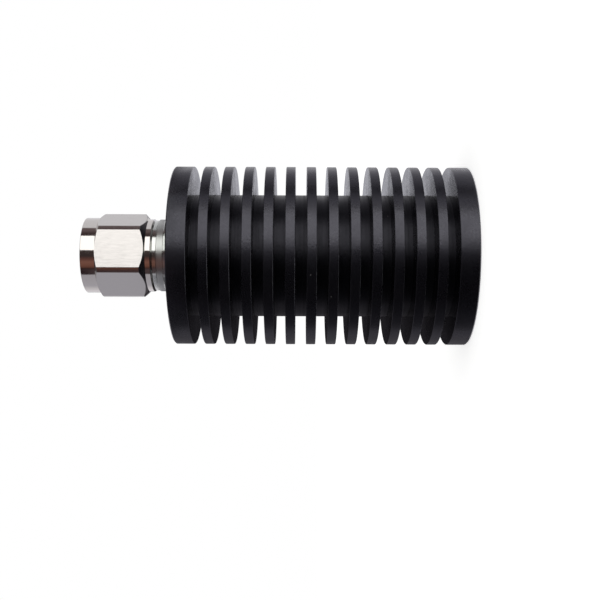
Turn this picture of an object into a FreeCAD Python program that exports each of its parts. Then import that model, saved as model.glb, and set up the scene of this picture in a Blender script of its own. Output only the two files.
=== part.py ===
import FreeCAD, Part
import os
import re

import Sketcher

# Coaxial terminator: an N plug on a round finned heat sink that cools the load resistor.
# The axis of the turned parts is +Z. The rear face of the heat sink lies at height 0,
# the plug points up, and the open side of the resistor's bed faces +Y.

doc = FreeCAD.newDocument("Terminator")

# Driving sizes, in mm and degrees
SIZES = {
    "Heat sink": {
        "sink_diameter": 45.0,
        "end_disc_thickness": 4.7,
        "fin_thickness": 2.3,
        "fin_gap": 2.78,
        "fin_count": 12,
        "core_diameter": 30.8,
        "disc_edge": 0.25,
        "fin_edge": 0.1,
        "bore_diameter": 16.0,
        "bore_mouth_edge": 0.3,
        "bore_end_clearance": 0.4,
        "drill_tip_height": 4.8,
    },
    "Plug body": {
        "hub_diameter": 19.0,
        "hub_length": 2.61,
        "neck_diameter": 18.3,
        "neck_length": 1.67,
        "collar_diameter": 17.8,
        "collar_length": 1.09,
        "body_edge": 0.15,
        "head_diameter": 14.6,
        "head_length": 3.74,
        "air_bore_diameter": 7.0,
        "shank_length": 11.5,
        "thread_clearance": 0.05,
        "undercut_depth": 1.2,
        "undercut_width": 1.6,
        "seal_section": 1.1,
    },
    "Coupling nut": {
        "nut_ring_diameter": 19.0,
        "nut_ring_length": 3.55,
        "nut_across_flats": 19.05,
        "nut_corner_diameter": 21.4,
        "nut_hex_length": 12.35,
        "nut_hex_turn": 10.0,
        "nut_front_slope": 32.0,
        "nut_rear_slope": 41.0,
        "nut_collar_diameter": 18.4,
        "nut_collar_length": 1.29,
        "nut_edge": 0.2,
        "nut_mouth_edge": 0.6,
        "nut_back_gap": 0.25,
        "nut_running_clearance": 0.08,
        "nut_thread_diameter": 15.88,
        "nut_thread_length": 9.0,
        "nut_relief_clearance": 1.0,
    },
    "Snap ring": {
        "ring_width": 1.0,
        "ring_height": 1.1,
        "ring_side_clearance": 0.05,
        "ring_depth_clearance": 0.15,
        "ring_groove_depth": 0.8,
        "ring_groove_setback": 1.2,
        "ring_opening_angle": 32.0,
    },
    "Contacts": {
        "contact_diameter": 8.0,
        "contact_length": 10.9,
        "contact_root_diameter": 8.8,
        "contact_root_lead": 0.1,
        "contact_flange_diameter": 10.4,
        "contact_flange_thickness": 1.6,
        "contact_edge": 0.12,
        "slot_width": 0.45,
        "slot_length": 7.8,
        "slot_count": 4,
        "slot_turn": 45.0,
        "gasket_width": 2.7,
        "gasket_thickness": 1.5,
        "gasket_clearance": 0.1,
        "gasket_edge": 0.2,
        "pin_diameter": 3.04,
        "pin_setback": 5.3,
        "pin_tip_diameter": 1.65,
        "pin_tip_length": 4.75,
        "pin_nose_length": 0.6,
        "pin_nose_diameter": 0.8,
        "pin_neck_diameter": 2.68,
        "tail_diameter": 1.8,
    },
    "Insulators": {
        "bead_diameter": 8.8,
        "bead_thickness": 2.6,
        "bead_slit": 0.3,
        "seat_clearance": 0.03,
        "lock_ring_thickness": 1.6,
        "lock_ring_bore": 5.2,
    },
    "Carrier": {
        "carrier_clearance": 0.06,
        "carrier_flange_thickness": 3.0,
        "carrier_hole_diameter": 5.2,
        "bed_spare_length": 5.0,
        "carrier_screw_circle": 12.2,
        "carrier_screw_diameter": 1.6,
        "carrier_screw_head_diameter": 3.0,
        "carrier_screw_head_height": 1.6,
        "carrier_screw_reach": 3.6,
        "carrier_washer_diameter": 3.4,
        "carrier_washer_thickness": 0.35,
        "screw_clearance": 0.15,
        "tap_clearance": 0.03,
        "tap_spare_depth": 0.6,
    },
    "Resistor": {
        "flange_setback": 3.0,
        "flange_width": 6.35,
        "flange_thickness": 1.5,
        "flange_hole_setback": 3.0,
        "flange_screw_diameter": 2.5,
        "flange_screw_head_diameter": 4.5,
        "flange_screw_head_height": 2.5,
        "flange_screw_reach": 3.6,
        "flange_washer_diameter": 5.0,
        "flange_washer_thickness": 0.5,
        "chip_length": 6.35,
        "chip_width": 5.8,
        "chip_thickness": 1.0,
        "chip_setback": 0.6,
        "chip_washer_gap": 1.55,
        "cover_length": 4.0,
        "cover_width": 5.2,
        "cover_thickness": 0.8,
        "cover_setback": 2.0,
        "lead_width": 1.6,
        "lead_thickness": 0.2,
        "lead_overlap": 1.6,
        "tail_flat_length": 2.6,
        "socket_share": 0.5,
    },
}

# Heights and radii that follow from the driving sizes
LEVELS = {
    "sink_radius": "sink_diameter / 2",
    "core_radius": "core_diameter / 2",
    "bore_radius": "bore_diameter / 2",
    "fin_pitch": "fin_thickness + fin_gap",
    "sink_front": "2 * end_disc_thickness + fin_count * fin_thickness + (fin_count + 1) * fin_gap",
    "hub_front": "sink_front + hub_length",
    "neck_front": "hub_front + neck_length",
    "collar_front": "neck_front + collar_length",
    "head_front": "collar_front + head_length",
    "head_radius": "head_diameter / 2",
    "air_bore_radius": "air_bore_diameter / 2",
    "nut_back": "collar_front + nut_back_gap",
    "hex_back": "nut_back + nut_collar_length",
    "hex_front": "hex_back + nut_hex_length",
    "nut_front": "hex_front + nut_ring_length",
    "nut_land_radius": "head_radius + nut_running_clearance",
    "nut_thread_radius": "nut_thread_diameter / 2",
    "thread_back": "nut_front - nut_thread_length",
    "front_drop": "(nut_corner_diameter - nut_ring_diameter) / 2 * tan(nut_front_slope)",
    "rear_drop": "(nut_corner_diameter - nut_collar_diameter) / 2 * tan(nut_rear_slope)",
    "groove_front": "head_front - ring_groove_setback",
    "groove_back": "groove_front - ring_height - 2 * ring_side_clearance",
    "ring_inner": "head_radius - ring_groove_depth + ring_depth_clearance",
    "ring_outer": "ring_inner + ring_width",
    "contact_front": "head_front + contact_length",
    "flange_back": "head_front - contact_flange_thickness",
    "gasket_front": "head_front + gasket_thickness",
    "contact_root_front": "gasket_front + contact_root_lead",
    "gasket_inner": "contact_root_diameter / 2 + gasket_clearance",
    "gasket_outer": "gasket_inner + gasket_width",
    "nut_relief_radius": "gasket_outer + nut_relief_clearance",
    "bead_radius": "bead_diameter / 2",
    "bead_seat_radius": "bead_radius + seat_clearance",
    "bead_back": "flange_back - bead_thickness",
    "shank_radius": "bore_radius - thread_clearance",
    "shank_back": "sink_front - shank_length",
    "rear_bead_back": "shank_back + lock_ring_thickness",
    "rear_bead_front": "rear_bead_back + bead_thickness",
    "seal_level": "sink_front - undercut_width / 2",
    "seal_radius": "shank_radius - undercut_depth + seal_section / 2",
    "pin_shoulder": "contact_front - pin_setback",
    "pin_tip": "pin_shoulder + pin_tip_length",
    "pin_neck_radius": "pin_neck_diameter / 2",
    "carrier_radius": "bore_radius - carrier_clearance",
    "carrier_face": "shank_back - carrier_flange_thickness",
    "bed_level": "-(flange_thickness + chip_thickness)",
    "flange_top": "bed_level + flange_thickness",
    "flange_front": "carrier_face - flange_setback",
    "chip_front": "flange_front - chip_setback",
    "chip_end": "chip_front - chip_length",
    "flange_hole_level": "chip_end - chip_washer_gap - flange_washer_diameter / 2",
    "flange_end": "flange_hole_level - flange_hole_setback",
    "carrier_end": "flange_end - bed_spare_length",
    "bore_floor": "carrier_end - bore_end_clearance",
    "cover_front": "chip_front - cover_setback",
    "cover_end": "cover_front - cover_length",
    "lead_end": "chip_front - lead_overlap",
    "tail_end": "chip_front + flange_setback - tail_flat_length / 2",
    "tail_flat_top": "tail_end + tail_flat_length",
    "carrier_screw_radius": "carrier_screw_circle / 2",
    "carrier_washer_back": "carrier_face - carrier_washer_thickness",
    "flange_washer_top": "flange_top + flange_washer_thickness",
}


def add_sheet(name, rows):
    """A spreadsheet with one aliased row for each value."""
    sheet = doc.addObject("Spreadsheet::Sheet", name)
    for row, (alias, value) in enumerate(rows, start=1):
        sheet.set(f"A{row}", alias.replace("_", " "))
        sheet.set(f"B{row}", value)
        sheet.setAlias(f"B{row}", alias)
    doc.recompute()
    return sheet


def bound(text):
    """An expression with each size's sheet written before its name."""

    def with_sheet(match):
        name = match.group(0)
        if name in LEVELS:
            return f"Levels.{name}"
        return f"Sizes.{name}" if name in driving else name

    return re.sub(r"[a-z][a-z_]*", with_sheet, text)


driving = {name: value for group in SIZES.values() for name, value in group.items()}
sizes = add_sheet("Sizes", [(name, str(value)) for name, value in driving.items()])
levels = add_sheet("Levels", [(name, "=" + bound(rule)) for name, rule in LEVELS.items()])


def size(text):
    """The present value of an expression of sizes."""
    value = sizes.evalExpression(bound(text))
    return float(getattr(value, "Value", value))


# Drawing and shaping helpers


def new_body(label):
    body = doc.addObject("PartDesign::Body", label)
    body.Label = label
    return body


def origin_part(body, role):
    return next(part for part in body.Origin.OriginFeatures if part.Role == role)


def new_sketch(body, name, plane, offset=None, turned=None):
    """An empty sketch on one of the body's own planes, raised by an offset and turned in its plane."""
    sketch = body.newObject("Sketcher::SketchObject", name)
    sketch.AttachmentSupport = [(origin_part(body, plane), "")]
    sketch.MapMode = "FlatFace"
    if turned:
        about_normal = FreeCAD.Rotation(FreeCAD.Vector(0, 0, 1), size(turned))
        sketch.AttachmentOffset = FreeCAD.Placement(FreeCAD.Vector(), about_normal)
        sketch.setExpression("AttachmentOffset.Rotation.Angle", bound(turned))
    if offset:
        sketch.setExpression("AttachmentOffset.Base.z", bound(offset))
    doc.recompute()
    return sketch


def draw_outline(sketch, points):
    """A closed outline of straight lines whose corners are bound to expressions."""
    corners = [FreeCAD.Vector(size(x), size(y), 0) for x, y in points]
    for i, corner in enumerate(corners):
        sketch.addGeometry(Part.LineSegment(corner, corners[(i + 1) % len(corners)]), False)
    for i in range(len(corners)):
        sketch.addConstraint(Sketcher.Constraint("Coincident", i, 2, (i + 1) % len(corners), 1))
    for i, (point, corner) in enumerate(zip(points, corners)):
        for kind, text, value in zip(("DistanceX", "DistanceY"), point, corner[:2]):
            index = sketch.addConstraint(Sketcher.Constraint(kind, -1, 1, i, 1, value))
            sketch.setExpression(f"Constraints[{index}]", bound(text))
    doc.recompute()


def draw_circle(sketch, x, y, radius):
    """A circle whose centre and radius are bound to expressions."""
    circle = Part.Circle(FreeCAD.Vector(size(x), size(y), 0), FreeCAD.Vector(0, 0, 1), size(radius))
    geometry = sketch.addGeometry(circle, False)
    for kind, text in (("DistanceX", x), ("DistanceY", y)):
        index = sketch.addConstraint(Sketcher.Constraint(kind, -1, 1, geometry, 3, size(text)))
        sketch.setExpression(f"Constraints[{index}]", bound(text))
    index = sketch.addConstraint(Sketcher.Constraint("Radius", geometry, size(radius)))
    sketch.setExpression(f"Constraints[{index}]", bound(radius))
    doc.recompute()


def turn(body, name, points, cut=False, angle=None):
    """A full turn of an outline of radii and heights about the body's Z axis."""
    sketch = new_sketch(body, name + "_outline", "XZ_Plane")
    draw_outline(sketch, points)
    feature = body.newObject("PartDesign::Groove" if cut else "PartDesign::Revolution", name)
    feature.Profile = sketch
    feature.ReferenceAxis = (sketch, ["V_Axis"])
    feature.Angle = 360
    if angle:
        feature.setExpression("Angle", bound(angle))
    doc.recompute()
    return feature


def pad(body, name, sketch, length, flip=False):
    feature = body.newObject("PartDesign::Pad", name)
    feature.Profile = sketch
    feature.Reversed = flip
    feature.setExpression("Length", bound(length))
    doc.recompute()
    return feature


def pocket(body, name, sketch, length, flip=False):
    """A cut along the sketch's normal, which has to take material away."""
    before = body.Shape.Volume
    feature = body.newObject("PartDesign::Pocket", name)
    feature.Profile = sketch
    feature.Reversed = flip
    feature.setExpression("Length", bound(length))
    doc.recompute()
    if body.Shape.Volume > before - 1e-6:
        raise RuntimeError(f"{name} takes nothing away from {body.Label}")
    return feature


def block(label, x_half, y_low, height, z_low, z_high):
    """A rectangular plate, centred in X, standing between two levels."""
    body = new_body(label)
    sketch = new_sketch(body, "plan", "XY_Plane", z_low)
    y_high = f"{y_low} + {height}"
    draw_outline(
        sketch,
        [(f"-({x_half})", y_low), (x_half, y_low), (x_half, y_high), (f"-({x_half})", y_high)],
    )
    pad(body, "plate", sketch, f"{z_high} - ({z_low})")
    return body


def hex_corners(across_flats, turn_angle):
    """The corners of a hexagon; one flat's normal is turned by the angle from -Y towards +X."""
    radius = f"({across_flats}) / 2 / cos(30)"
    angles = [f"({turn_angle} - 120 + {60 * i})" for i in range(6)]
    return [(f"{radius} * cos{angle}", f"{radius} * sin{angle}") for angle in angles]


def pair_across_axis(label, body):
    """One node of two like solids: the body and its mirror image beyond the YZ plane."""
    body.Label = label + "_right"
    other = doc.addObject("Part::Mirroring", label + "_left")
    other.Source = body
    other.Normal = FreeCAD.Vector(1, 0, 0)
    both = doc.addObject("Part::Compound", label)
    both.Label = label
    both.Links = [body, other]
    doc.recompute()
    return both


# Heat sink: a turned bar, one groove repeated along it, and the blind bore


def make_heat_sink():
    body = new_body("heat_sink")
    rim = "sink_radius - disc_edge"
    turn(
        body,
        "bar",
        [
            ("0", "0"),
            (rim, "0"),
            ("sink_radius", "disc_edge"),
            ("sink_radius", "sink_front - disc_edge"),
            (rim, "sink_front"),
            ("0", "sink_front"),
        ],
    )
    low = "end_disc_thickness"
    high = "end_disc_thickness + fin_gap"
    beyond = "sink_radius + 1"
    fin_gap = turn(
        body,
        "fin_gap",
        [
            ("core_radius", low),
            ("sink_radius - fin_edge", low),
            (beyond, f"{low} - fin_edge - 1"),
            (beyond, f"{high} + fin_edge + 1"),
            ("sink_radius - fin_edge", high),
            ("core_radius", high),
        ],
        cut=True,
    )
    gaps = body.newObject("PartDesign::LinearPattern", "fin_gaps")
    gaps.Originals = [fin_gap]
    gaps.Direction = (origin_part(body, "Z_Axis"), [""])
    gaps.setExpression("Length", bound("fin_count * fin_pitch"))
    gaps.setExpression("Occurrences", bound("fin_count + 1"))
    body.Tip = gaps
    doc.recompute()
    turn(
        body,
        "bore",
        [
            ("0", "sink_front + 1"),
            ("0", "bore_floor - drill_tip_height"),
            ("bore_radius", "bore_floor"),
            ("bore_radius", "sink_front - bore_mouth_edge"),
            ("bore_radius + bore_mouth_edge", "sink_front"),
            ("bore_radius + bore_mouth_edge", "sink_front + 1"),
        ],
        cut=True,
    )
    return body


# Plug body: head with the snap ring's groove, collar, neck, hub and threaded shank


def make_plug_body():
    body = new_body("plug_body")
    head_groove = "head_radius - ring_groove_depth"
    undercut = "shank_radius - undercut_depth"
    counterbore = "contact_flange_diameter / 2 + seat_clearance"
    turn(
        body,
        "turned_body",
        [
            (counterbore, "head_front"),
            ("head_radius - body_edge", "head_front"),
            ("head_radius", "head_front - body_edge"),
            ("head_radius", "groove_front"),
            (head_groove, "groove_front"),
            (head_groove, "groove_back"),
            ("head_radius", "groove_back"),
            ("head_radius", "collar_front"),
            ("collar_diameter / 2 - body_edge", "collar_front"),
            ("collar_diameter / 2", "collar_front - body_edge"),
            ("collar_diameter / 2", "neck_front"),
            ("neck_diameter / 2 - body_edge", "neck_front"),
            ("neck_diameter / 2", "neck_front - body_edge"),
            ("neck_diameter / 2", "hub_front"),
            ("hub_diameter / 2 - body_edge", "hub_front"),
            ("hub_diameter / 2", "hub_front - body_edge"),
            ("hub_diameter / 2", "sink_front"),
            (undercut, "sink_front"),
            (undercut, "sink_front - undercut_width"),
            ("shank_radius", "sink_front - undercut_width"),
            ("shank_radius", "shank_back"),
            ("bead_seat_radius", "shank_back"),
            ("bead_seat_radius", "rear_bead_front"),
            ("air_bore_radius", "rear_bead_front"),
            ("air_bore_radius", "bead_back"),
            ("bead_seat_radius", "bead_back"),
            ("bead_seat_radius", "flange_back"),
            (counterbore, "flange_back"),
        ],
    )
    tapped = new_sketch(body, "tapped_holes_plan", "XY_Plane", "shank_back")
    for side in ("", "-"):
        draw_circle(
            tapped, f"{side}carrier_screw_radius", "0", "carrier_screw_diameter / 2 + tap_clearance"
        )
    pocket(body, "tapped_holes", tapped, "carrier_screw_reach + tap_spare_depth", flip=True)
    return body


# Coupling nut: hexagon with its corners turned off, front ring, rear collar and stepped bore


def make_coupling_nut():
    body = new_body("coupling_nut")
    plan = new_sketch(body, "hexagon_plan", "XY_Plane", "hex_back")
    draw_outline(plan, hex_corners("nut_across_flats", "nut_hex_turn"))
    pad(body, "hexagon", plan, "nut_hex_length")
    corner = "nut_corner_diameter / 2"
    ring = "nut_ring_diameter / 2"
    collar = "nut_collar_diameter / 2"
    turn(
        body,
        "turned_corners",
        [
            (ring, "hex_front"),
            (corner, "hex_front - front_drop"),
            (corner, "hex_back + rear_drop"),
            (collar, "hex_back"),
            (collar, "hex_back - 1"),
            ("nut_across_flats", "hex_back - 1"),
            ("nut_across_flats", "hex_front + 1"),
            (ring, "hex_front + 1"),
        ],
        cut=True,
    )
    turn(
        body,
        "front_ring",
        [
            ("nut_thread_radius", "hex_front"),
            (ring, "hex_front"),
            (ring, "nut_front - nut_edge / 2"),
            (f"{ring} - nut_edge / 2", "nut_front"),
            ("nut_thread_radius", "nut_front"),
        ],
    )
    turn(
        body,
        "rear_collar",
        [
            ("nut_land_radius", "nut_back"),
            (f"{collar} - nut_edge", "nut_back"),
            (collar, "nut_back + nut_edge"),
            (collar, "hex_back"),
            ("nut_land_radius", "hex_back"),
        ],
    )
    groove = "ring_outer + ring_depth_clearance"
    turn(
        body,
        "stepped_bore",
        [
            ("0", "nut_back - 1"),
            ("nut_land_radius", "nut_back - 1"),
            ("nut_land_radius", "groove_back"),
            (groove, "groove_back"),
            (groove, "groove_front"),
            ("nut_land_radius", "groove_front"),
            ("nut_land_radius", "head_front"),
            ("nut_relief_radius", "head_front"),
            ("nut_relief_radius", "thread_back"),
            ("nut_thread_radius", "thread_back"),
            ("nut_thread_radius", "nut_front - nut_mouth_edge"),
            ("nut_thread_radius + nut_mouth_edge", "nut_front"),
            ("nut_thread_radius + nut_mouth_edge", "nut_front + 1"),
            ("0", "nut_front + 1"),
        ],
        cut=True,
    )
    return body


def make_snap_ring():
    body = new_body("nut_snap_ring")
    low = "groove_back + ring_side_clearance"
    high = "groove_front - ring_side_clearance"
    turn(
        body,
        "open_ring",
        [("ring_inner", low), ("ring_outer", low), ("ring_outer", high), ("ring_inner", high)],
        angle="360 - ring_opening_angle",
    )
    return body


def make_gasket():
    body = new_body("nut_gasket")
    turn(
        body,
        "gasket_ring",
        [
            ("gasket_inner", "head_front"),
            ("gasket_outer", "head_front"),
            ("gasket_outer", "gasket_front - gasket_edge"),
            ("gasket_outer - gasket_edge", "gasket_front"),
            ("gasket_inner + gasket_edge", "gasket_front"),
            ("gasket_inner", "gasket_front - gasket_edge"),
        ],
    )
    return body


def make_outer_contact():
    """The plug's spigot: a springy tube with slots, and a flange in the body's counterbore."""
    body = new_body("outer_contact")
    outer = "contact_diameter / 2"
    root = "contact_root_diameter / 2"
    turn(
        body,
        "tube",
        [
            ("air_bore_radius + contact_edge", "contact_front"),
            (f"{outer} - contact_edge", "contact_front"),
            (outer, "contact_front - contact_edge"),
            (outer, "contact_root_front"),
            (root, "contact_root_front"),
            (root, "head_front"),
            ("contact_flange_diameter / 2", "head_front"),
            ("contact_flange_diameter / 2", "flange_back"),
            ("air_bore_radius", "flange_back"),
            ("air_bore_radius", "contact_front - contact_edge"),
        ],
    )
    plan = new_sketch(body, "slot_plan", "XY_Plane", "contact_front", turned="slot_turn")
    inner_end = "air_bore_radius - 1"
    outer_end = f"{outer} + 1"
    half = "slot_width / 2"
    draw_outline(
        plan,
        [(inner_end, f"-{half}"), (outer_end, f"-{half}"), (outer_end, half), (inner_end, half)],
    )
    slot = pocket(body, "slot", plan, "slot_length")
    slots = body.newObject("PartDesign::PolarPattern", "slots")
    slots.Originals = [slot]
    slots.Axis = (origin_part(body, "Z_Axis"), [""])
    slots.Angle = 360
    slots.setExpression("Occurrences", bound("slot_count"))
    body.Tip = slots
    doc.recompute()
    return body


def make_centre_pin():
    """The inner conductor: tip, body, two necks inside the beads, and a tail with a flat."""
    body = new_body("centre_pin")
    radius = "pin_diameter / 2"
    tip = "pin_tip_diameter / 2"
    tail = "tail_diameter / 2"
    turn(
        body,
        "turned_pin",
        [
            ("0", "pin_tip"),
            ("pin_nose_diameter / 2", "pin_tip"),
            (tip, "pin_tip - pin_nose_length"),
            (tip, "pin_shoulder"),
            (radius, "pin_shoulder"),
            (radius, "flange_back"),
            ("pin_neck_radius", "flange_back"),
            ("pin_neck_radius", "bead_back"),
            (radius, "bead_back"),
            (radius, "rear_bead_front"),
            ("pin_neck_radius", "rear_bead_front"),
            ("pin_neck_radius", "rear_bead_back"),
            (tail, "rear_bead_back"),
            (tail, "tail_end"),
            ("0", "tail_end"),
        ],
    )
    plan = new_sketch(body, "tail_flat_plan", "XY_Plane", "tail_end")
    draw_outline(
        plan,
        [(f"-{tail} - 1", "0"), (f"{tail} + 1", "0"), (f"{tail} + 1", radius), (f"-{tail} - 1", radius)],
    )
    pocket(body, "tail_flat", plan, "tail_flat_length", flip=True)
    return body


def make_bead(label, back):
    """A PTFE bead round one of the pin's necks, with the slit that lets it snap on."""
    body = new_body(label)
    hole = "pin_neck_radius + seat_clearance"
    front = f"{back} + bead_thickness"
    turn(
        body,
        "bead",
        [(hole, back), ("bead_radius", back), ("bead_radius", front), (hole, front)],
    )
    plan = new_sketch(body, "slit_plan", "XY_Plane", back)
    half = "bead_slit / 2"
    far = "bead_radius + 1"
    draw_outline(plan, [(f"-{half}", "0"), (half, "0"), (half, far), (f"-{half}", far)])
    pocket(body, "slit", plan, "bead_thickness", flip=True)
    return body


def make_lock_ring():
    body = new_body("insulator_lock_ring")
    hole = "lock_ring_bore / 2"
    turn(
        body,
        "ring",
        [
            (hole, "shank_back"),
            ("bead_radius", "shank_back"),
            ("bead_radius", "rear_bead_back"),
            (hole, "rear_bead_back"),
        ],
    )
    return body


def make_seal_ring():
    ring = doc.addObject("Part::Torus", "body_seal_ring")
    ring.Label = "body_seal_ring"
    ring.setExpression("Radius1", bound("seal_radius"))
    ring.setExpression("Radius2", bound("seal_section / 2"))
    ring.setExpression("Placement.Base.z", bound("seal_level"))
    doc.recompute()
    return ring


# Resistor assembly: carrier, flange, ceramic chip, cover, lead and their fasteners


def make_carrier():
    """A round flange with a half-round bed behind it; the bed's flat faces +Y."""
    body = new_body("resistor_carrier")
    turn(
        body,
        "round_block",
        [
            ("0", "carrier_end"),
            ("carrier_radius", "carrier_end"),
            ("carrier_radius", "shank_back"),
            ("0", "shank_back"),
        ],
    )
    bed = new_sketch(body, "bed_plan", "XY_Plane", "carrier_face")
    wide = "carrier_radius + 1"
    draw_outline(
        bed,
        [(f"-({wide})", "bed_level"), (wide, "bed_level"), (wide, wide), (f"-({wide})", wide)],
    )
    pocket(body, "bed", bed, "carrier_face - carrier_end + 1")
    holes = new_sketch(body, "flange_holes_plan", "XY_Plane", "shank_back")
    draw_circle(holes, "0", "0", "carrier_hole_diameter / 2")
    for side in ("", "-"):
        draw_circle(
            holes, f"{side}carrier_screw_radius", "0", "carrier_screw_diameter / 2 + screw_clearance"
        )
    pocket(body, "flange_holes", holes, "carrier_flange_thickness")
    tapped = new_sketch(body, "tapped_hole_plan", "XZ_Plane", "-(bed_level)")
    draw_circle(tapped, "0", "flange_hole_level", "flange_screw_diameter / 2 + tap_clearance")
    pocket(body, "tapped_hole", tapped, "flange_screw_reach + tap_spare_depth", flip=True)
    return body


def make_resistor_flange():
    body = block(
        "resistor_flange",
        "flange_width / 2",
        "bed_level",
        "flange_thickness",
        "flange_end",
        "flange_front",
    )
    plan = new_sketch(body, "screw_hole_plan", "XZ_Plane", "-(flange_top)")
    draw_circle(plan, "0", "flange_hole_level", "flange_screw_diameter / 2 + screw_clearance")
    pocket(body, "screw_hole", plan, "flange_thickness", flip=True)
    return body


def make_chip():
    return block(
        "resistor_chip", "chip_width / 2", "flange_top", "chip_thickness", "chip_end", "chip_front"
    )


def make_cover():
    return block("resistor_cover", "cover_width / 2", "0", "cover_thickness", "cover_end", "cover_front")


def make_lead():
    return block("resistor_lead", "lead_width / 2", "0", "lead_thickness", "lead_end", "tail_flat_top")


def make_screw(label, shank, head, head_height, reach):
    """A cap screw whose head stands on height 0 and whose shank points down."""
    body = new_body(label)
    turn(
        body,
        "screw",
        [
            ("0", f"-({reach})"),
            (f"({shank}) / 2", f"-({reach})"),
            (f"({shank}) / 2", "0"),
            (f"({head}) / 2", "0"),
            (f"({head}) / 2", head_height),
            ("0", head_height),
        ],
    )
    socket = new_sketch(body, "socket_plan", "XY_Plane", head_height)
    draw_outline(socket, hex_corners(f"({head}) * socket_share", "0"))
    pocket(body, "socket", socket, f"({head_height}) * socket_share")
    return body


def make_washer(label, hole, outside, thickness):
    """A flat washer standing on height 0."""
    body = new_body(label)
    turn(
        body,
        "washer",
        [
            (f"({hole}) / 2", "0"),
            (f"({outside}) / 2", "0"),
            (f"({outside}) / 2", thickness),
            (f"({hole}) / 2", thickness),
        ],
    )
    return body


def put(piece, angle, x="0", y="0", z="0"):
    """Places a piece, turned about the X axis by an angle in degrees."""
    piece.Placement = FreeCAD.Placement(
        FreeCAD.Vector(size(x), size(y), size(z)),
        FreeCAD.Rotation(FreeCAD.Vector(1, 0, 0), angle),
    )
    for axis, text in zip("xyz", (x, y, z)):
        piece.setExpression(f"Placement.Base.{axis}", bound(text))
    doc.recompute()
    return piece


def make_flange_screw():
    screw = make_screw(
        "flange_screw",
        "flange_screw_diameter",
        "flange_screw_head_diameter",
        "flange_screw_head_height",
        "flange_washer_thickness + flange_thickness + flange_screw_reach",
    )
    return put(screw, -90, y="flange_washer_top", z="flange_hole_level")


def make_flange_washer():
    washer = make_washer(
        "flange_washer",
        "flange_screw_diameter + 2 * screw_clearance",
        "flange_washer_diameter",
        "flange_washer_thickness",
    )
    return put(washer, -90, y="flange_top", z="flange_hole_level")


def make_carrier_screws():
    screw = make_screw(
        "carrier_screw",
        "carrier_screw_diameter",
        "carrier_screw_head_diameter",
        "carrier_screw_head_height",
        "carrier_washer_thickness + carrier_flange_thickness + carrier_screw_reach",
    )
    put(screw, 180, x="carrier_screw_radius", z="carrier_washer_back")
    return pair_across_axis("carrier_screws", screw)


def make_carrier_washers():
    washer = make_washer(
        "carrier_washer",
        "carrier_screw_diameter + 2 * screw_clearance",
        "carrier_washer_diameter",
        "carrier_washer_thickness",
    )
    put(washer, 180, x="carrier_screw_radius", z="carrier_face")
    return pair_across_axis("carrier_washers", washer)


nodes = [
    make_heat_sink(),
    make_plug_body(),
    make_coupling_nut(),
    make_snap_ring(),
    make_gasket(),
    make_outer_contact(),
    make_centre_pin(),
    make_bead("front_insulator", "bead_back"),
    make_bead("rear_insulator", "rear_bead_back"),
    make_lock_ring(),
    make_seal_ring(),
    make_carrier(),
    make_resistor_flange(),
    make_chip(),
    make_cover(),
    make_lead(),
    make_flange_screw(),
    make_flange_washer(),
    make_carrier_screws(),
    make_carrier_washers(),
]

doc.recompute()
for item in doc.Objects:
    if "Invalid" in item.State or "Error" in item.State:
        raise RuntimeError(f"{item.Label} failed: {item.State}")
for node in nodes:
    if node.Shape.isNull() or not node.Shape.isValid():
        raise RuntimeError(f"{node.Label} has no valid shape")

os.makedirs("parts", exist_ok=True)
for node in nodes:
    node.Shape.exportStep(f"parts/{node.Label}.step")
    solids = len(node.Shape.Solids)
    print(f"{node.Label}: {solids} solid(s), {node.Shape.Volume:.1f} mm3")
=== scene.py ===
import math

import bmesh
import bpy
from mathutils import Matrix, Vector


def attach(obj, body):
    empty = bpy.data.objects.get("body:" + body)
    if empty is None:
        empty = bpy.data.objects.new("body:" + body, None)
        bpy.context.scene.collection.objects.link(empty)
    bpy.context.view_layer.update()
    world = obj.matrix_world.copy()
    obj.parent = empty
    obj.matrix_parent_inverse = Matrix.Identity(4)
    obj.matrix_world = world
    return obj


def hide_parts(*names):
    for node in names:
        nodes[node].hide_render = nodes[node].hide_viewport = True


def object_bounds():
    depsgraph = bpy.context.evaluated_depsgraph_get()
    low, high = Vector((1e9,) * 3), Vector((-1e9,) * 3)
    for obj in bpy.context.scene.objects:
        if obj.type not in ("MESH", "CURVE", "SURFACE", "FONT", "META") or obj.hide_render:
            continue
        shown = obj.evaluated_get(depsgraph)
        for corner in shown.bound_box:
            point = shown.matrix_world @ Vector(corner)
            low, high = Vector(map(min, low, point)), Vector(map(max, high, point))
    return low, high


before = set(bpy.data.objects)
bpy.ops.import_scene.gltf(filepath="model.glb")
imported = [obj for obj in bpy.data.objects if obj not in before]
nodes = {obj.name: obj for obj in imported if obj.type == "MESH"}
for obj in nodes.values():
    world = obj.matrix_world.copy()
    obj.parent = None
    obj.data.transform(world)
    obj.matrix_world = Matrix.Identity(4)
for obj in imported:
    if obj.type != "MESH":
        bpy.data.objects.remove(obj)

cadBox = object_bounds()
mm = 0.001
samePoint = 0.0005 * mm  # vertices closer than this become one
noiseSpan = {"From Min": 0.3, "From Max": 0.7}  # most values of a noise texture lie in it
ringNoise = {"noise_dimensions": "2D", "Detail": 3.0, "Roughness": 0.6}
scene = bpy.context.scene
print("frame loaded:", len(nodes), "nodes")


# Helpers for colours, nodes and meshes

def hexColour(text):  # sRGB hex to the linear colour that the shaders use
    channels = [int(text[i:i + 2], 16) / 255 for i in (0, 2, 4)]
    linear = [c / 12.92 if c <= 0.04045 else ((c + 0.055) / 1.055) ** 2.4 for c in channels]
    return (*linear, 1.0)


def outwardAt(angle):  # unit vector across the axis, from -Y towards +X
    return Vector((math.sin(angle), -math.cos(angle), 0))


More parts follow.
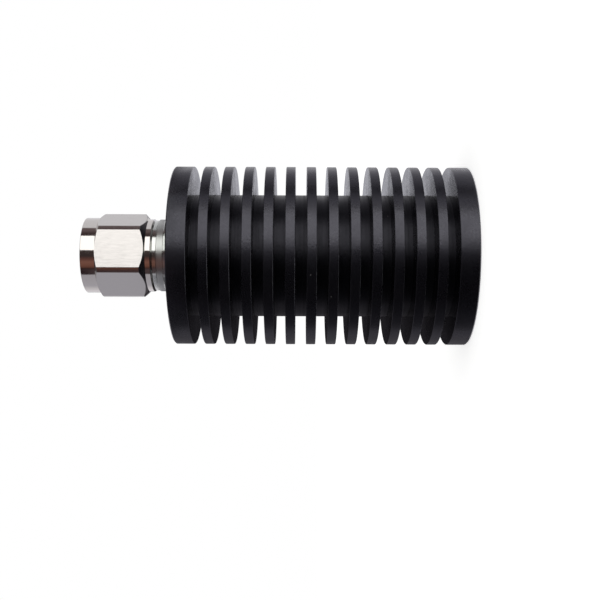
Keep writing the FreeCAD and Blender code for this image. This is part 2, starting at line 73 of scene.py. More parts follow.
# A setting that has the name or number of a socket goes to that socket, any other to the node itself
def addNode(material, kind, settings=None, links=None):
    node = material.node_tree.nodes.new(kind)
    for name, value in (settings or {}).items():
        if isinstance(name, int) or name in node.inputs:
            node.inputs[name].default_value = value
        else:
            setattr(node, name, value)
    for name, socket in (links or {}).items():
        material.node_tree.links.new(socket, node.inputs[name])
    return node


def newMaterial(name):
    material = bpy.data.materials.new(name)
    material.use_nodes = True
    material.node_tree.nodes.clear()
    return material


def showSurface(material, shader):
    addNode(material, "ShaderNodeOutputMaterial", links={"Surface": shader.outputs[0]})
    return material


# Radius from the axis and height along it: a pattern on these two runs in rings, as turning marks do
def turnedPlace(material):
    place = addNode(material, "ShaderNodeTexCoord").outputs["Object"]
    parts = addNode(material, "ShaderNodeSeparateXYZ", links={"Vector": place})
    across = addNode(
        material, "ShaderNodeCombineXYZ", links={"X": parts.outputs["X"], "Y": parts.outputs["Y"]},
    )
    radius = addNode(material, "ShaderNodeVectorMath", {"operation": "LENGTH"}, {0: across.outputs[0]})
    return addNode(
        material, "ShaderNodeCombineXYZ",
        links={"X": radius.outputs["Value"], "Y": parts.outputs["Z"]},
    ).outputs[0]


def objectPlace(material):
    return addNode(material, "ShaderNodeTexCoord").outputs["Object"]


def zoneMask(material, value, start, end):  # 1 between the two values, 0 outside
    above = addNode(material, "ShaderNodeMath", {"operation": "GREATER_THAN", 1: start}, {0: value})
    below = addNode(material, "ShaderNodeMath", {"operation": "LESS_THAN", 1: end}, {0: value})
    return addNode(
        material, "ShaderNodeMath", {"operation": "MULTIPLY"},
        {0: above.outputs[0], 1: below.outputs[0]},
    ).outputs[0]


def pieceFromMesh(name, bm, material, body):
    bmesh.ops.remove_doubles(bm, verts=bm.verts, dist=samePoint)
    bmesh.ops.recalc_face_normals(bm, faces=bm.faces)
    mesh = bpy.data.meshes.new(name)
    bm.to_mesh(mesh)
    bm.free()
    mesh.materials.append(material)
    piece = bpy.data.objects.new(name, mesh)
    scene.collection.objects.link(piece)
    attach(piece, body)
    return piece


# Smooth shading in which the largest faces round a corner keep their own normal. The modifier for this
# gives up on faces of under a square millimetre, so the normals are worked out here.
def smoothWithFlats(piece, sharpFrom=math.radians(40), smallShare=0.4):
    bm = bmesh.new()
    bm.from_mesh(piece.data)
    area = {face: face.calc_area() for face in bm.faces}
    normals = []
    for face in bm.faces:
        for loop in face.loops:
            near = [
                other for other in loop.vert.link_faces
                if other.normal.angle(face.normal, 0) < sharpFrom
            ]
            largest = max(area[other] for other in near)
            large = [other.normal for other in near if area[other] >= smallShare * largest]
            normals.append(sum(large, Vector()).normalized())
    bm.free()
    piece.data.shade_smooth()
    piece.data.normals_split_custom_set(normals)


# Materials

# Black anodised aluminium: a turned bar, blasted and etched to a fine grain, under a dyed oxide skin.
# It has a satin sheen that brightens at a grazing angle, turning rings between the fins, where the
# blasting hardly reached, and a few specks of dust.
anodised = {
    "colour": "09080c",
    "sheenColour": "f1f0ff",
    "speckColour": "8f8b8a",
    "roughness": 0.31,
    "grooveRoughness": 0.40,
    "sideRoughness": 0.22,  # the faces that the parting tool left, finer than the rims
    "sideFrom": 0.7,  # a face whose normal runs along the axis by more than this is a side
    "roughnessSpread": 0.26,
    "coreRadius": 15.5 * mm,  # inside this and between the two heights lie the grooves' floors
    "grooveFrom": 4.72 * mm,
    "grooveTo": 68.42 * mm,
    "oxideIor": 1.70,
    "grooveIor": 1.46,
    "grainSize": 0.50 * mm,  # the etched grain is about 0.1 mm, drawn coarser to show
    "grainNoise": {"Detail": 2.0, "Roughness": 0.5},
    "grainShare": 0.75,  # on the rims and faces, the rest is turning marks
    "ringPitch": 0.42 * mm,  # real turning marks are 0.1 mm apart, drawn coarser to show
    "markDepth": 0.034 * mm,
    "cloudSize": 6 * mm,
    "cloudNoise": {"Detail": 4.0, "Roughness": 0.6},
    "cloudShare": 0.5,
    "wornFrom": 0.25,  # the span of marks and clouds that changes the roughness
    "wornTo": 0.75,
    "speckSpacing": 5.2 * mm,
    "speckSize": 0.030,  # radius, as a share of the spacing
    "speckCore": 0.6,  # share of the radius that has the full colour
    "speckStrength": 0.5,
}


def blackAnodisedTurnedAluminium():
    material = newMaterial("blackAnodisedTurnedAluminium")
    place = objectPlace(material)
    turned = turnedPlace(material)
    rings = addNode(
        material, "ShaderNodeTexNoise",
        {**ringNoise, "Scale": 1 / anodised["ringPitch"]}, {"Vector": turned},
    )
    grain = addNode(
        material, "ShaderNodeTexNoise",
        {**anodised["grainNoise"], "Scale": 1 / anodised["grainSize"]}, {"Vector": place},
    )
    clouds = addNode(
        material, "ShaderNodeTexNoise",
        {**anodised["cloudNoise"], "Scale": 1 / anodised["cloudSize"]}, {"Vector": place},
    )
    parts = addNode(material, "ShaderNodeSeparateXYZ", links={"Vector": turned})
    core = addNode(
        material, "ShaderNodeMath", {"operation": "LESS_THAN", 1: anodised["coreRadius"]},
        {0: parts.outputs["X"]},
    )
    grooves = zoneMask(material, parts.outputs["Y"], anodised["grooveFrom"], anodised["grooveTo"])
    deep = addNode(
        material, "ShaderNodeMath", {"operation": "MULTIPLY"}, {0: core.outputs[0], 1: grooves},
    )
    facing = addNode(
        material, "ShaderNodeSeparateXYZ",
        links={"Vector": addNode(material, "ShaderNodeTexCoord").outputs["Normal"]},
    )
    along = addNode(material, "ShaderNodeMath", {"operation": "ABSOLUTE"}, {0: facing.outputs["Z"]})
    side = addNode(
        material, "ShaderNodeMath", {"operation": "GREATER_THAN", 1: anodised["sideFrom"]},
        {0: along.outputs[0]},
    )
    rimOrSide = addNode(
        material, "ShaderNodeMix",
        {"data_type": "FLOAT", "A": anodised["roughness"], "B": anodised["sideRoughness"]},
        {"Factor": side.outputs[0]},
    )
    dullness = addNode(
        material, "ShaderNodeMix", {"data_type": "FLOAT", "B": anodised["grooveRoughness"]},
        {"Factor": deep.outputs[0], "A": rimOrSide.outputs["Result"]},
    )
    grainHere = addNode(
        material, "ShaderNodeMapRange", {"To Min": anodised["grainShare"], "To Max": 0.0},
        {"Value": deep.outputs[0]},
    )
    marks = addNode(
        material, "ShaderNodeMix", {"data_type": "FLOAT"},
        {"Factor": grainHere.outputs["Result"], "A": rings.outputs["Fac"], "B": grain.outputs["Fac"]},
    )
    wear = addNode(
        material, "ShaderNodeMix", {"data_type": "FLOAT", "Factor": anodised["cloudShare"]},
        {"A": marks.outputs["Result"], "B": clouds.outputs["Fac"]},
    )
    spread = addNode(
        material, "ShaderNodeMapRange",
        {"From Min": anodised["wornFrom"], "From Max": anodised["wornTo"],
         "To Min": -anodised["roughnessSpread"] / 2, "To Max": anodised["roughnessSpread"] / 2},
        {"Value": wear.outputs["Result"]},
    )
    roughness = addNode(
        material, "ShaderNodeMath", {"operation": "ADD"},
        {0: dullness.outputs["Result"], 1: spread.outputs["Result"]},
    )
    specks = addNode(
        material, "ShaderNodeTexVoronoi", {"Scale": 1 / anodised["speckSpacing"], "Randomness": 1.0},
        {"Vector": place},
    )
    isSpeck = addNode(
        material, "ShaderNodeMapRange",
        {"From Min": anodised["speckSize"] * anodised["speckCore"], "From Max": anodised["speckSize"],
         "To Min": anodised["speckStrength"], "To Max": 0.0},
        {"Value": specks.outputs["Distance"]},
    )
    colour = addNode(
        material, "ShaderNodeMix",
        {"data_type": "RGBA", "A": hexColour(anodised["colour"]),
         "B": hexColour(anodised["speckColour"])},
        {"Factor": isSpeck.outputs["Result"]},
    )
    bump = addNode(
        material, "ShaderNodeBump", {"Strength": 1.0, "Distance": anodised["markDepth"]},
        {"Height": marks.outputs["Result"]},
    )
    oxide = addNode(
        material, "ShaderNodeMix",
        {"data_type": "FLOAT", "A": anodised["oxideIor"], "B": anodised["grooveIor"]},
        {"Factor": deep.outputs[0]},
    )
    surface = addNode(
        material, "ShaderNodeBsdfPrincipled", {"Specular Tint": hexColour(anodised["sheenColour"])},
        {"Base Color": colour.outputs["Result"], "Roughness": roughness.outputs[0],
         "IOR": oxide.outputs["Result"], "Normal": bump.outputs["Normal"]},
    )
    return showSurface(material, surface)


# Bright nickel on brass: a mirror where it is turned, duller with a fine grain on the milled hexagon
brightNickel = {
    "colour": "cdc9c4",
    "milledColour": "c4c1bd",
    "turnedRoughness": 0.09,
    "milledRoughness": 0.17,
    "roughnessSpread": 0.09,
    "milledFrom": 80.2 * mm,  # heights between which the nut is milled
    "milledTo": 92.3 * mm,
    "grainAcross": 0.30 * mm,  # cutter marks are finer, drawn coarser to show
    "grainAlong": 2.4 * mm,
    "grainDepth": 0.009 * mm,
    "grainNoise": {"Detail": 4.0, "Roughness": 0.65},
}


def brightNickelPlatedBrass():
    material = newMaterial("brightNickelPlatedBrass")
    place = objectPlace(material)
    along, across = 1 / brightNickel["grainAlong"], 1 / brightNickel["grainAcross"]
    stretched = addNode(
        material, "ShaderNodeMapping", {"Scale": (across, across, along)}, {"Vector": place},
    )
    grain = addNode(
        material, "ShaderNodeTexNoise", {**brightNickel["grainNoise"], "Scale": 1.0},
        {"Vector": stretched.outputs["Vector"]},
    )
    height = addNode(material, "ShaderNodeSeparateXYZ", links={"Vector": place}).outputs["Z"]
    milled = zoneMask(material, height, brightNickel["milledFrom"], brightNickel["milledTo"])
    dullness = addNode(
        material, "ShaderNodeMix",
        {"data_type": "FLOAT", "A": brightNickel["turnedRoughness"],
         "B": brightNickel["milledRoughness"]},
        {"Factor": milled},
    )
    spread = addNode(
        material, "ShaderNodeMapRange",
        {**noiseSpan,
         "To Min": -brightNickel["roughnessSpread"] / 2, "To Max": brightNickel["roughnessSpread"] / 2},
        {"Value": grain.outputs["Fac"]},
    )
    roughness = addNode(
        material, "ShaderNodeMath", {"operation": "ADD"},
        {0: dullness.outputs["Result"], 1: spread.outputs["Result"]},
    )
    bump = addNode(
        material, "ShaderNodeBump", {"Distance": brightNickel["grainDepth"]},
        {"Strength": milled, "Height": grain.outputs["Fac"]},
    )
    colour = addNode(
        material, "ShaderNodeMix",
        {"data_type": "RGBA", "A": hexColour(brightNickel["colour"]),
         "B": hexColour(brightNickel["milledColour"])},
        {"Factor": milled},
    )
    surface = addNode(
        material, "ShaderNodeBsdfPrincipled", {"Metallic": 1.0},
        {"Base Color": colour.outputs["Result"], "Roughness": roughness.outputs[0],
         "Normal": bump.outputs["Normal"]},
    )
    return showSurface(material, surface)


# Satin nickel on brass: the plug's body, smooth on its collar and hub and dull on the neck between them
satinNickel = {
    "colour": "c9cbc7",
    "roughness": 0.14,
    "neckRoughness": 0.31,
    "roughnessSpread": 0.06,
    "neckFrom": 75.85 * mm,
    "neckTo": 77.40 * mm,
    "ringPitch": 0.30 * mm,  # real turning marks are 0.1 mm apart, drawn coarser to show
    "ringDepth": 0.003 * mm,
}


def satinNickelPlatedBrass():
    material = newMaterial("satinNickelPlatedBrass")
    turned = turnedPlace(material)
    rings = addNode(
        material, "ShaderNodeTexNoise",
        {**ringNoise, "Scale": 1 / satinNickel["ringPitch"]}, {"Vector": turned},
    )
    height = addNode(material, "ShaderNodeSeparateXYZ", links={"Vector": turned}).outputs["Y"]
    neck = zoneMask(material, height, satinNickel["neckFrom"], satinNickel["neckTo"])
    dullness = addNode(
        material, "ShaderNodeMix",
        {"data_type": "FLOAT", "A": satinNickel["roughness"], "B": satinNickel["neckRoughness"]},
        {"Factor": neck},
    )
    spread = addNode(
        material, "ShaderNodeMapRange",
        {**noiseSpan,
         "To Min": -satinNickel["roughnessSpread"] / 2, "To Max": satinNickel["roughnessSpread"] / 2},
        {"Value": rings.outputs["Fac"]},
    )
    roughness = addNode(
        material, "ShaderNodeMath", {"operation": "ADD"},
        {0: dullness.outputs["Result"], 1: spread.outputs["Result"]},
    )
    bump = addNode(
        material, "ShaderNodeBump", {"Strength": 1.0, "Distance": satinNickel["ringDepth"]},
        {"Height": rings.outputs["Fac"]},
    )
    surface = addNode(
        material, "ShaderNodeBsdfPrincipled",
        {"Base Color": hexColour(satinNickel["colour"]), "Metallic": 1.0},
        {"Roughness": roughness.outputs[0], "Normal": bump.outputs["Normal"]},
    )
    return showSurface(material, surface)


# Finishes that differ in a few values only. The marks' pitch and depth are in mm.
finishSpread = 0.2  # share by which the marks vary the roughness
finishValues = ("colour", "metallic", "roughness", "pitch", "depth")
finishes = {
    "goldPlatedTurnedBrass": ("e6c27a", 1.0, 0.16, 0.20, 0.003),
    "rolledSpringSteel": ("a9a7a4", 1.0, 0.30, 0.25, 0.004),
    "coldHeadedStainlessSteel": ("b9b7b3", 1.0, 0.28, 0.25, 0.004),
    "milledCopper": ("c9805c", 1.0, 0.34, 0.45, 0.008),
    "stampedNickelPlatedCopper": ("cfcbc2", 1.0, 0.30, 0.40, 0.004),
    "turnedPtfe": ("efeeea", 0.0, 0.42, 0.25, 0.010),
    "mouldedSiliconeRubber": ("a34230", 0.0, 0.55, 0.60, 0.008),
    "lappedAlumina": ("e9e7de", 0.0, 0.48, 0.35, 0.005),
}


def plainFinish(name):
    values = dict(zip(finishValues, finishes[name]))
    material = newMaterial(name)
    marks = addNode(
        material, "ShaderNodeTexNoise",
        {**ringNoise, "Scale": 1 / (values["pitch"] * mm)}, {"Vector": turnedPlace(material)},
    )
    roughness = addNode(
        material, "ShaderNodeMapRange",
        {**noiseSpan,
         "To Min": values["roughness"] * (1 - finishSpread),
         "To Max": values["roughness"] * (1 + finishSpread)},
        {"Value": marks.outputs["Fac"]},
    )
    bump = addNode(
        material, "ShaderNodeBump", {"Strength": 1.0, "Distance": values["depth"] * mm},
        {"Height": marks.outputs["Fac"]},
    )
    surface = addNode(
        material, "ShaderNodeBsdfPrincipled",
        {"Base Color": hexColour(values["colour"]), "Metallic": values["metallic"]},
        {"Roughness": roughness.outputs["Result"], "Normal": bump.outputs["Normal"]},
    )
    return showSurface(material, surface)


anodisedMaterial = blackAnodisedTurnedAluminium()
nickelMaterial = brightNickelPlatedBrass()
satinMaterial = satinNickelPlatedBrass()
plainMaterials = {name: plainFinish(name) for name in finishes}

nodeFinish = {
    "heat_sink": anodisedMaterial,
    "coupling_nut": nickelMaterial,
    "plug_body": satinMaterial,
    "outer_contact": satinMaterial,
    "insulator_lock_ring": satinMaterial,
    "nut_snap_ring": plainMaterials["rolledSpringSteel"],
    "nut_gasket": plainMaterials["mouldedSiliconeRubber"],
    "body_seal_ring": plainMaterials["mouldedSiliconeRubber"],
    "centre_pin": plainMaterials["goldPlatedTurnedBrass"],
    "resistor_lead": plainMaterials["goldPlatedTurnedBrass"],
    "front_insulator": plainMaterials["turnedPtfe"],
    "rear_insulator": plainMaterials["turnedPtfe"],
    "resistor_carrier": plainMaterials["milledCopper"],
    "resistor_flange": plainMaterials["stampedNickelPlatedCopper"],
    "resistor_chip": plainMaterials["lappedAlumina"],
    "resistor_cover": plainMaterials["lappedAlumina"],
    "flange_screw": plainMaterials["coldHeadedStainlessSteel"],
    "flange_washer": plainMaterials["coldHeadedStainlessSteel"],
    "carrier_screws": plainMaterials["coldHeadedStainlessSteel"],
    "carrier_washers": plainMaterials["coldHeadedStainlessSteel"],
}
for name, material in nodeFinish.items():
    for part in nodes[name].material_slots:
        part.material = material
print("materials made:", len(set(nodeFinish.values())))


# Coupling nut: a turned shell cut to a hexagon by six planes, with its edges softened as plating and
# tumbling leave them. Radii and heights are the solid's, in mm, apart from the corners' radius, which is
# 0.08 mm less, so that each plane's edges fall on a column of the lathe's mesh.
nutShell = {
    "collarRadius": 9.2,
    "ringRadius": 9.5,
    "cornerRadius": 10.62,
    "flatDistance": 9.525,
    "hexTurn": 10.0,
    "back": 78.76,
    "hexBack": 80.05,
    "rearConeEnd": 81.285,
    "frontConeStart": 91.70,
    "hexFront": 92.4,
    "front": 95.95,
    "landRadius": 7.38,
    "grooveRadius": 7.8,
    "grooveBack": 79.85,
    "grooveFront": 81.05,
    "headFront": 82.25,
    "reliefRadius": 8.2,
    "threadRadius": 7.94,
    "threadBack": 86.95,
    "mouthEdge": 0.6,
    "mergeDistance": 0.01,
    "rounding": 0.11,
    "roundingSteps": 3,
    "coneMargin": 0.001,  # the edges on the front cone stay sharp, those at its start don't
    "roundedFrom": 12,  # degrees between two faces, from which their edge is rounded
    "stepsAround": 192,
}


def latheProfile(corners, steps, startAngle=0.0):
    bm = bmesh.new()
    outward = outwardAt(startAngle)
    ring = [
        bm.verts.new(outward * radius * mm + Vector((0, 0, height * mm)))
        for radius, height in corners
    ]
    edges = [bm.edges.new((ring[i - 1], ring[i])) for i in range(len(ring))]
    bmesh.ops.spin(
        bm, geom=[*ring, *edges], axis=(0, 0, 1), angle=2 * math.pi, steps=steps, use_merge=True,
    )
    bmesh.ops.remove_doubles(bm, verts=bm.verts, dist=samePoint)
    return bm


def softenEdges(bm, width, keepFrom, keepTo):  # outer edges only, and none between the two heights
    bmesh.ops.recalc_face_normals(bm, faces=bm.faces)
    sharp = [
        edge for edge in bm.edges
        if edge.is_convex and edge.calc_face_angle(0) > math.radians(nutShell["roundedFrom"])
        and not keepFrom * mm < (edge.verts[0].co.z + edge.verts[1].co.z) / 2 < keepTo * mm
    ]
    bmesh.ops.bevel(
        bm, geom=sharp, offset=width * mm, offset_type="OFFSET", affect="EDGES",
        segments=nutShell["roundingSteps"], profile=0.5, material=-1, clamp_overlap=True,
    )


def makeNutShell():
    v = nutShell
    bm = latheProfile([
        (v["landRadius"], v["back"]), (v["collarRadius"], v["back"]), (v["collarRadius"], v["hexBack"]),
        (v["cornerRadius"], v["rearConeEnd"]), (v["cornerRadius"], v["frontConeStart"]),
        (v["ringRadius"], v["hexFront"]), (v["ringRadius"], v["front"]),
        (v["threadRadius"] + v["mouthEdge"], v["front"]),
        (v["threadRadius"], v["front"] - v["mouthEdge"]),
        (v["threadRadius"], v["threadBack"]), (v["reliefRadius"], v["threadBack"]),
        (v["reliefRadius"], v["headFront"]), (v["landRadius"], v["headFront"]),
        (v["landRadius"], v["grooveFront"]), (v["grooveRadius"], v["grooveFront"]),
        (v["grooveRadius"], v["grooveBack"]), (v["landRadius"], v["grooveBack"]),
    ], v["stepsAround"], math.radians(v["hexTurn"]))
    for flat in range(6):
        outward = outwardAt(math.radians(v["hexTurn"] + 60 * flat))
        cut = bmesh.ops.bisect_plane(
            bm, geom=[*bm.verts, *bm.edges, *bm.faces], dist=samePoint,
            plane_co=outward * v["flatDistance"] * mm, plane_no=outward, clear_outer=True,
        )["geom_cut"]
        rim = [item for item in cut if isinstance(item, bmesh.types.BMEdge) and item.is_boundary]
        bmesh.ops.holes_fill(bm, edges=rim, sides=0)
    bmesh.ops.remove_doubles(bm, verts=bm.verts, dist=v["mergeDistance"] * mm)
    softenEdges(bm, v["rounding"], v["frontConeStart"] + v["coneMargin"], v["hexFront"])
    piece = pieceFromMesh("nutShell", bm, nickelMaterial, "nut")
    smoothWithFlats(piece)
    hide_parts("coupling_nut")


makeNutShell()
print("nut shell made")


# Thread inside the nut: 5/8-24 turns with a flat crest, too fine for the solid. Sizes in mm.
nutThread = {
    "pitch": 1.0583,
    "rootRadius": 7.95,
    "crestRadius": 7.45,
    "crestWidth": 0.16,
    "rootWidth": 0.9,
    "start": 87.15,
    "end": 94.9,
    "stepsPerTurn": 72,
}


def makeNutThread():
    v = nutThread
    rise = v["end"] - v["start"]
    turns = rise / v["pitch"]
    steps = round(turns * v["stepsPerTurn"])
    bm = bmesh.new()
    section = bm.faces.new([
        bm.verts.new((radius * mm, 0, (v["start"] + height) * mm)) for radius, height in (
            (v["rootRadius"], -v["rootWidth"] / 2), (v["crestRadius"], -v["crestWidth"] / 2),
            (v["crestRadius"], v["crestWidth"] / 2), (v["rootRadius"], v["rootWidth"] / 2),
        )
    ])
    bmesh.ops.spin(
        bm, geom=[section], axis=(0, 0, 1), angle=turns * 2 * math.pi, steps=steps,
        dvec=(0, 0, rise / steps * mm),
    )
    piece = pieceFromMesh("nutThread", bm, nickelMaterial, "nut")
    smoothWithFlats(piece)


makeNutThread()
print("nut thread made")


# Camera: level, looking along +Y at the lying part, so the plug points left in the picture
cameraFit = {
    "lens": 54.144,  # mm on a 36 mm sensor
    "place": Vector((0.18, -230.85, 41.83)) * mm,
    "tilt": math.radians(2.834),  # towards the picture's lower edge
    "roll": math.radians(0.23),
    "clipStart": 10 * mm,
}


def addCamera():
    data = bpy.data.cameras.new("camera")
    data.lens = cameraFit["lens"]
    data.clip_start = cameraFit["clipStart"]
    camera = bpy.data.objects.new("camera", data)
    scene.collection.objects.link(camera)
    tilt = cameraFit["tilt"]
    ahead = Vector((-math.sin(tilt), math.cos(tilt), 0))
    up = Vector((math.cos(tilt), math.sin(tilt), 0))
    up.rotate(Matrix.Rotation(-cameraFit["roll"], 3, ahead))
    right = ahead.cross(up)
    turn = Matrix((right, up, -ahead)).transposed()
    camera.matrix_world = Matrix.Translation(cameraFit["place"]) @ turn.to_4x4()
    scene.camera = camera


addCamera()


# Studio: a long softbox above the camera in the picture, a pale floor, and a ring and cards around the
# part that only reflections see. Angles are degrees about the part's axis, from -Y towards +X, and
# lengths are in metres.
studio = {
    "ambient": 0.6,  # light from all sides, while the background itself is white
    "softboxFrom": 15.2,
    "softboxTo": 61.0,
    "softboxDistance": 0.70,
    "softboxLength": 0.64,
    "softboxRadiance": 1.75,
    "roomDistance": 1.0,
    "roomFoot": -2.0,
    "roomTop": 1.2,
    "endColour": "68666a",
    "floorColour": "f4f4f3",
    "floorSize": 1.6,
    "floorDrop": 0.05 * mm,  # under the rear face, so that the two don't share a plane
    "floorLift": 0.56,  # what the camera sees the floor brighter by, so that it is white
    "cardSteps": 96,
    "discSteps": 64,
    "mergeDistance": 0.1 * mm,
}
# The ring, by angle: shaded table under the part, lit table, dark room, white far side
roomColours = [
    (-180, "3a383c"), (-166, "3a383c"), (-160, "f0eef4"), (-140, "ece9f0"), (-122, "dcdae1"),
    (-108, "c0bfc9"), (-62, "b8b6be"), (-60, "4c4042"), (-50, "55484a"), (-33, "4a3c3e"),
    (-31, "2a2223"), (10, "453a3a"), (25, "453838"), (70, "453838"), (80, "6e6061"), (91, "6e6061"),
    (93, "e8e7ec"), (135, "e8e7ec"), (160, "efeef2"), (168, "e4e4ec"), (180, "e2e2eb"),
]
# Cards in front of the ring, sizes in mm. Those at 45 show the shade and light close to the part, and
# the two far ones a warm thing and a dark strip of table beyond the nut.
nearCards = {
    "reflectedShade": {"distance": 45, "foot": -14, "top": 76, "colours": [
        (-81, "57565c"), (-68, "4a494f"), (-56, "3a393f"), (-44, "1c1b1f"), (-30, "161519"),
        (-8, "1f1e22"), (3, "68666c"), (10.5, "8e8c92"),
    ]},
    "reflectedDimTable": {"distance": 45, "foot": -12, "top": 76, "colours": [
        (-140, "76737a"), (-106, "7c797f"), (-90, "94919a"), (-81, "8a878d"),
    ]},
    # Painted shadow that the part casts on the table under it, a dark card seen only in reflections
    "reflectedShadowUnderPart": {"distance": 45, "foot": -8, "top": 76, "colours": [
        (-180, "2e2c30"), (-140, "2e2c30"),
    ]},
    "reflectedDarkTop": {"distance": 45, "foot": -8, "top": 76, "colours": [
        (50, "c2c0c7"), (61, "b8b6bd"), (66, "4c4a50"), (74, "5a585e"), (80, "94929a"),
    ]},
    "reflectedDimTop": {"distance": 45, "foot": -8, "top": 76, "colours": [
        (80, "9c9aa2"), (98, "acaab2"), (116, "e0dee6"),
    ]},
    # The hub cards paint what only the plug's hub and neck reflect: painted shade near the heat sink's
    # dark front face, above, in front of and below the hub, and in reflectedHubLight a dimmer painted
    # highlight in place of the softbox's
    "reflectedHubShadeTop": {"distance": 45, "foot": 76, "top": 84, "colours": [
        (76, "6c6a6e"), (98, "6a686c"), (108, "a3a2a7"), (165, "a9a8ad"),
    ]},
    "reflectedHubShadeFront": {"distance": 45, "foot": 76, "top": 81, "colours": [
        (-62, "5a575d"), (-40, "585259"), (3, "585259"),
    ]},
    "reflectedHubLight": {"distance": 45, "foot": 76, "top": 81, "colours": [
        (14, "f0f5f1"), (62, "f0f5f1"),
    ]},
    "reflectedHubShadedTable": {"distance": 45, "foot": 76, "top": 84, "colours": [
        (-160, "7f7d83"), (-100, "7f7d83"), (-85, "5a595e"), (-62, "5a595e"),
    ]},
    "reflectedWarmth": {"distance": 950, "foot": 205, "top": 700, "colours": [
        (-42, "3a2826"), (-33, "7c5347"), (-20, "8a6054"), (-12, "6a4640"), (-4, "4a3a38"),
    ]},
    "reflectedDarkTable": {"distance": 940, "foot": 312, "top": 700, "colours": [
        (-62, "2a1e20"), (-40, "2a1e20"),
    ]},
}


def addWorld():  # white to the camera and in reflections, and dimmer as light on matt surfaces
    world = bpy.data.worlds.new("studioWorld")
    scene.world = world
    world.use_nodes = True
    world.node_tree.nodes.clear()
    rays = addNode(world, "ShaderNodeLightPath")
    seen = addNode(
        world, "ShaderNodeMath", {"operation": "MAXIMUM"},
        {0: rays.outputs["Is Camera Ray"], 1: rays.outputs["Is Glossy Ray"]},
    )
    white = addNode(
        world, "ShaderNodeMath", {"operation": "MAXIMUM"},
        {0: seen.outputs[0], 1: rays.outputs["Is Transmission Ray"]},
    )
    strength = addNode(
        world, "ShaderNodeMapRange", {"To Min": studio["ambient"], "To Max": 1.0},
        {"Value": white.outputs[0]},
    )
    light = addNode(
        world, "ShaderNodeBackground", {"Color": (1, 1, 1, 1)}, {"Strength": strength.outputs["Result"]},
    )
    addNode(world, "ShaderNodeOutputWorld", links={"Surface": light.outputs[0]})


def addSoftbox():
    middle = math.radians((studio["softboxFrom"] + studio["softboxTo"]) / 2)
    half = math.radians((studio["softboxTo"] - studio["softboxFrom"]) / 2)
    data = bpy.data.lights.new("softbox", "AREA")
    data.shape = "RECTANGLE"
    data.size = 2 * studio["softboxDistance"] * math.tan(half)
    data.size_y = studio["softboxLength"]
    data.energy = studio["softboxRadiance"] * math.pi * data.size * data.size_y
    softbox = bpy.data.objects.new("softbox", data)
    scene.collection.objects.link(softbox)
    outward = outwardAt(middle)
    upright = Vector((0, 0, 1))
    turn = Matrix((upright.cross(outward), upright, outward)).transposed()
    place = outward * studio["softboxDistance"] + Vector((0, 0, cadBox[1].z / 2))
    softbox.matrix_world = Matrix.Translation(place) @ turn.to_4x4()
    softbox.visible_camera = False


def stageFromMesh(name, bm, material):
    mesh = bpy.data.meshes.new(name)
    bm.to_mesh(mesh)
    bm.free()
    mesh.materials.append(material)
    thing = bpy.data.objects.new(name, mesh)
    scene.collection.objects.link(thing)
    return thing


def showInReflectionsOnly(thing):
    thing.visible_camera = False
    thing.visible_diffuse = False
    thing.visible_shadow = False
    thing.visible_transmission = False


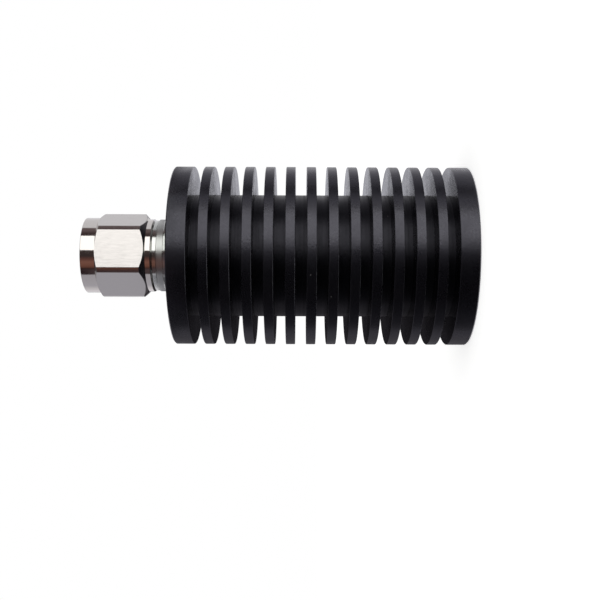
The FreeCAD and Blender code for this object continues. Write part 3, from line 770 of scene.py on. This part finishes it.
# A curved card whose colour changes with the angle. A stop lies at (angle + 180) / 360 of the ramp.
def addCard(name, distance, foot, top, colours):
    start, end = colours[0][0], colours[-1][0]
    bm = bmesh.new()
    outward = outwardAt(math.radians(start)) * distance
    ends = [bm.verts.new(outward + Vector((0, 0, height))) for height in (foot, top)]
    edge = bm.edges.new(ends)
    bmesh.ops.spin(
        bm, geom=[*ends, edge], axis=(0, 0, 1), angle=math.radians(end - start),
        steps=studio["cardSteps"],
    )
    bmesh.ops.remove_doubles(bm, verts=bm.verts, dist=studio["mergeDistance"])

    material = newMaterial(name)
    parts = addNode(material, "ShaderNodeSeparateXYZ", links={"Vector": objectPlace(material)})
    towards = addNode(
        material, "ShaderNodeMath", {"operation": "MULTIPLY", 1: -1.0}, {0: parts.outputs["Y"]},
    )
    turned = addNode(
        material, "ShaderNodeMath", {"operation": "ARCTAN2"},
        {0: parts.outputs["X"], 1: towards.outputs[0]},
    )
    share = addNode(
        material, "ShaderNodeMapRange", {"From Min": -math.pi, "From Max": math.pi},
        {"Value": turned.outputs[0]},
    )
    ramp = addNode(material, "ShaderNodeValToRGB", links={"Fac": share.outputs["Result"]})
    stops = ramp.color_ramp.elements
    stops.remove(stops[1])
    for number, (degrees, colour) in enumerate(colours):
        position = (degrees + 180) / 360
        stop = stops[0] if number == 0 else stops.new(position)
        stop.position = position
        stop.color = hexColour(colour)
    light = addNode(material, "ShaderNodeEmission", links={"Color": ramp.outputs["Color"]})
    showSurface(material, light)
    showInReflectionsOnly(stageFromMesh(name, bm, material))


def addEndDisc():  # closes the ring's open end on the plug's side
    material = newMaterial("reflectedEnd")
    bm = bmesh.new()
    place = Matrix.Translation((0, 0, studio["roomTop"]))
    bmesh.ops.create_circle(
        bm, cap_ends=True, segments=studio["discSteps"], radius=studio["roomDistance"], matrix=place,
    )
    light = addNode(material, "ShaderNodeEmission", {"Color": hexColour(studio["endColour"])})
    showSurface(material, light)
    showInReflectionsOnly(stageFromMesh("reflectedEnd", bm, material))


def addReflectedRoom():
    addCard("reflectedRoom", studio["roomDistance"], studio["roomFoot"], studio["roomTop"], roomColours)
    for name, card in nearCards.items():
        addCard(name, card["distance"] * mm, card["foot"] * mm, card["top"] * mm, card["colours"])


def addFloor():
    material = newMaterial("paleFloor")
    matt = addNode(material, "ShaderNodeBsdfDiffuse", {"Color": hexColour(studio["floorColour"])})
    seen = addNode(material, "ShaderNodeLightPath").outputs["Is Camera Ray"]
    lift = addNode(
        material, "ShaderNodeMath", {"operation": "MULTIPLY", 1: studio["floorLift"]}, {0: seen},
    )
    glow = addNode(material, "ShaderNodeEmission", links={"Strength": lift.outputs[0]})
    above = addNode(material, "ShaderNodeAddShader", links={0: matt.outputs[0], 1: glow.outputs[0]})
    underneath = addNode(material, "ShaderNodeNewGeometry").outputs["Backfacing"]
    below = addNode(material, "ShaderNodeBsdfTransparent")  # so that the rear face shows from below
    surface = addNode(
        material, "ShaderNodeMixShader", links={0: underneath, 1: above.outputs[0], 2: below.outputs[0]},
    )
    showSurface(material, surface)
    bm = bmesh.new()
    place = Matrix.Translation((0, 0, -studio["floorDrop"]))
    bmesh.ops.create_grid(bm, x_segments=1, y_segments=1, size=studio["floorSize"], matrix=place)
    stageFromMesh("floor", bm, material).visible_glossy = False


addWorld()
addSoftbox()
addReflectedRoom()
addEndDisc()
addFloor()
print("studio made")

scene.view_settings.view_transform = "Standard"
